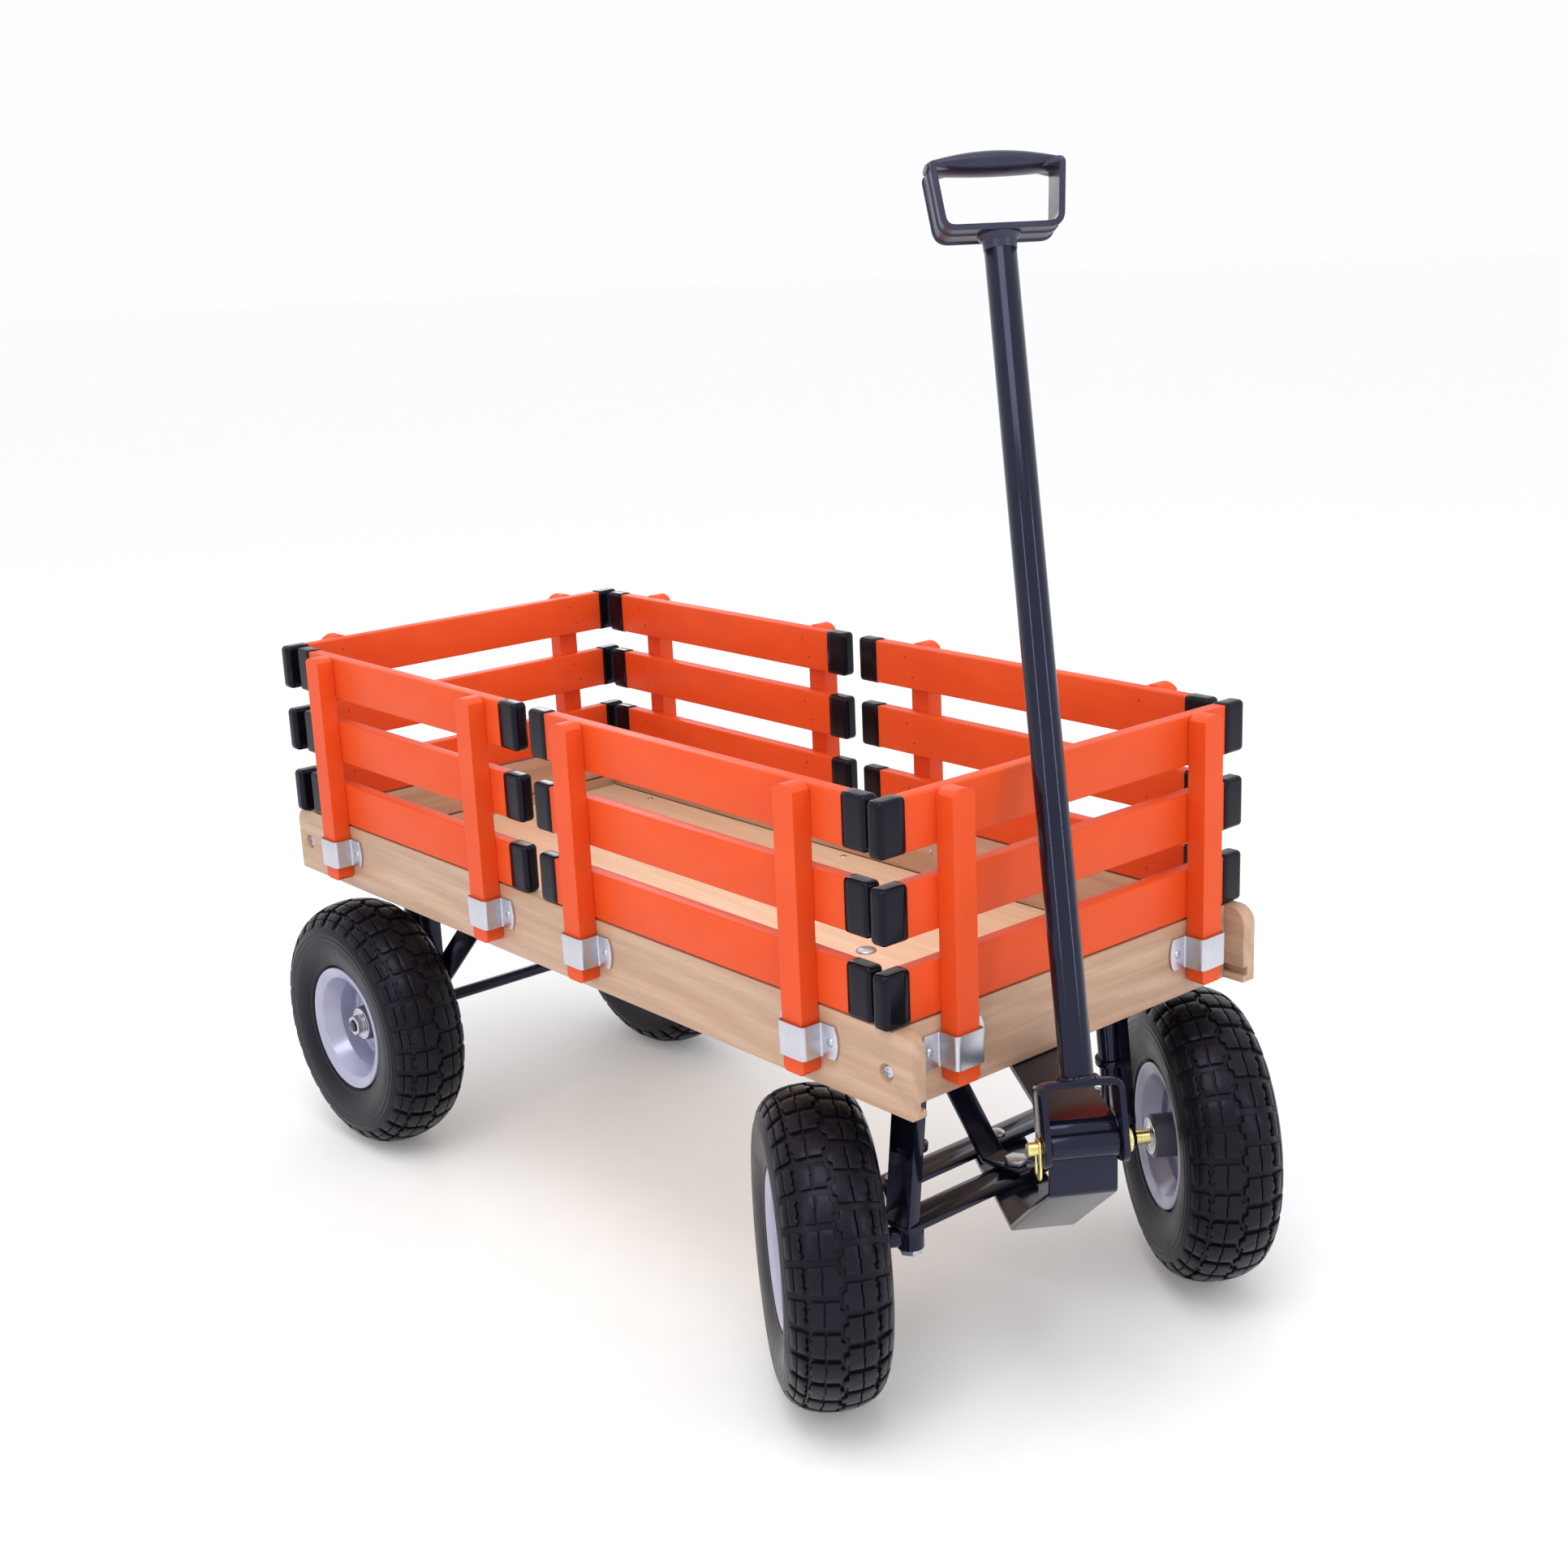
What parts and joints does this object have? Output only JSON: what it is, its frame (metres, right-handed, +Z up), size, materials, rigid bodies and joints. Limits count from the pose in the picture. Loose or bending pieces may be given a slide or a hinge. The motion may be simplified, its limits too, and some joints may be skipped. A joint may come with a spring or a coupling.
{
  "type": "wagon with pull handle",
  "caption": "Child's pull wagon: wooden bed, lift-out slatted side gates, pneumatic tyres, steered front wheels and a hinged pull handle with a loop grip.",
  "frame": {"origin": "on the ground under the middle of the whole wagon's box", "axes": "+X forward to the handle end, +Y to the wagon's left, +Z up"},
  "size_m": [1.0922, 0.57, 0.9802],
  "materials": {
    "beech": "clear-coated beech, satin",
    "deck_wood": "pale clear-coated plywood",
    "orange_paint": "wood slats in satin orange paint, with black moulded end caps",
    "black_steel": "gloss black powder coat",
    "black_plastic": "moulded black plastic",
    "zinc": "bright zinc plate",
    "yellow_zinc": "yellow zinc plate",
    "rubber": "black rubber, matt",
    "rim_paint": "satin silver-grey powder coat"
  },
  "bodies": {
    "bed": {"deck": "deck_wood", "front_axle_plate": "black_steel", "front_board": "beech", "front_bolster": "black_steel", "front_brace": "black_steel", "front_hanger_left": "black_steel", "front_hanger_right": "black_steel", "kingpin_left": "zinc", "kingpin_right": "zinc", "rear_axle": "black_steel", "rear_axle_nut_left": "zinc", "rear_axle_nut_right": "zinc", "rear_board": "beech", "rear_brace_left": "black_steel", "rear_brace_right": "black_steel", "rear_hanger_left": "black_steel", "rear_hanger_right": "black_steel", "side_board_left": "beech", "side_board_right": "beech", "strap_front_1": "zinc", "strap_front_2": "zinc", "strap_front_left_1": "zinc", "strap_front_left_2": "zinc", "strap_front_right_1": "zinc", "strap_front_right_2": "zinc", "strap_rear_1": "zinc", "strap_rear_2": "zinc", "strap_rear_left_1": "zinc", "strap_rear_left_2": "zinc", "strap_rear_right_1": "zinc", "strap_rear_right_2": "zinc", "tongue_pivot_lower": "zinc", "tongue_pivot_upper": "zinc"},
    "steering_tongue": {"tongue": "black_steel", "hitch_pin": "yellow_zinc", "hitch_clip": "yellow_zinc"},
    "tie_rod_assembly": {"tie_rod": "black_steel", "tie_rod_bolt_right": "zinc", "tie_rod_bolt_centre": "zinc", "tie_rod_bolt_left": "zinc"},
    "steering_knuckle_right": {"knuckle_right": "black_steel", "front_axle_bolt_right": "yellow_zinc"},
    "steering_knuckle_left": {"knuckle_left": "black_steel", "front_axle_bolt_left": "yellow_zinc"},
    "pull_handle": {"handle": "black_steel", "grip": "black_plastic"},
    "wheel_front_right": {"tyre_front_right": "rubber", "rim_front_right": "rim_paint"},
    "wheel_front_left": {"tyre_front_left": "rubber", "rim_front_left": "rim_paint"},
    "wheel_rear_right": {"tyre_rear_right": "rubber", "rim_rear_right": "rim_paint"},
    "wheel_rear_left": {"tyre_rear_left": "rubber", "rim_rear_left": "rim_paint"},
    "slat_gate_front": {"gate_front": "orange_paint"},
    "slat_gate_rear": {"gate_rear": "orange_paint"},
    "slat_gate_front_right": {"gate_front_right": "orange_paint"},
    "slat_gate_front_left": {"gate_front_left": "orange_paint"},
    "slat_gate_rear_right": {"gate_rear_right": "orange_paint"},
    "slat_gate_rear_left": {"gate_rear_left": "orange_paint"}
  },
  "joints": [
    {"name": "steer", "type": "hinge", "parent": "bed", "child": "steering_tongue", "pos_m": [0.337, 0, 0.139], "axis": [0, 0, 1], "range_deg": [-3, 69]},
    {"name": "knuckle_right_turn", "type": "hinge", "parent": "bed", "child": "steering_knuckle_right", "pos_m": [0.337, -0.1257, 0.131], "axis": [0, 0, 1], "range_deg": [-3, 69]},
    {"name": "knuckle_left_turn", "type": "hinge", "parent": "bed", "child": "steering_knuckle_left", "pos_m": [0.337, 0.1257, 0.131], "axis": [0, 0, 1], "range_deg": [-3, 69]},
    {"name": "tie_rod_swing", "type": "hinge", "parent": "steering_tongue", "child": "tie_rod_assembly", "pos_m": [0.27704, 0.03894, 0.141], "axis": [0, 0, 1], "range_deg": [-69, 3]},
    {"name": "handle_swing", "type": "hinge", "parent": "steering_tongue", "child": "pull_handle", "pos_m": [0.5148, -0.11546, 0.267], "axis": [0.5446, 0.8387, 0], "range_deg": [0, 127]},
    {"name": "wheel_front_right_spin", "type": "hinge", "parent": "steering_knuckle_right", "child": "wheel_front_right", "pos_m": [0.29599, -0.18885, 0.131], "axis": [0.5446, 0.8387, 0], "continuous": true},
    {"name": "wheel_rear_right_spin", "type": "hinge", "parent": "bed", "child": "wheel_rear_right", "pos_m": [-0.4151, -0.1897, 0.131], "axis": [0, 1, 0], "continuous": true},
    {"name": "wheel_front_left_spin", "type": "hinge", "parent": "steering_knuckle_left", "child": "wheel_front_left", "pos_m": [0.37801, 0.18885, 0.131], "axis": [0.5446, 0.8387, 0], "continuous": true},
    {"name": "wheel_rear_left_spin", "type": "hinge", "parent": "bed", "child": "wheel_rear_left", "pos_m": [-0.4151, 0.1897, 0.131], "axis": [0, 1, 0], "continuous": true},
    {"name": "gate_front_lift", "type": "slide", "parent": "bed", "child": "slat_gate_front", "axis": [0, 0, 1], "range_m": [0, 0.05]},
    {"name": "gate_rear_lift", "type": "slide", "parent": "bed", "child": "slat_gate_rear", "axis": [0, 0, 1], "range_m": [0, 0.05]},
    {"name": "gate_front_right_lift", "type": "slide", "parent": "bed", "child": "slat_gate_front_right", "axis": [0, 0, 1], "range_m": [0, 0.05]},
    {"name": "gate_front_left_lift", "type": "slide", "parent": "bed", "child": "slat_gate_front_left", "axis": [0, 0, 1], "range_m": [0, 0.05]},
    {"name": "gate_rear_right_lift", "type": "slide", "parent": "bed", "child": "slat_gate_rear_right", "axis": [0, 0, 1], "range_m": [0, 0.05]},
    {"name": "gate_rear_left_lift", "type": "slide", "parent": "bed", "child": "slat_gate_rear_left", "axis": [0, 0, 1], "range_m": [0, 0.05]}
  ],
  "couplings": [
    {"joint": "knuckle_right_turn", "follows": "steer", "ratio": 1},
    {"joint": "knuckle_left_turn", "follows": "steer", "ratio": 1},
    {"joint": "tie_rod_swing", "follows": "steer", "ratio": -1}
  ]
}
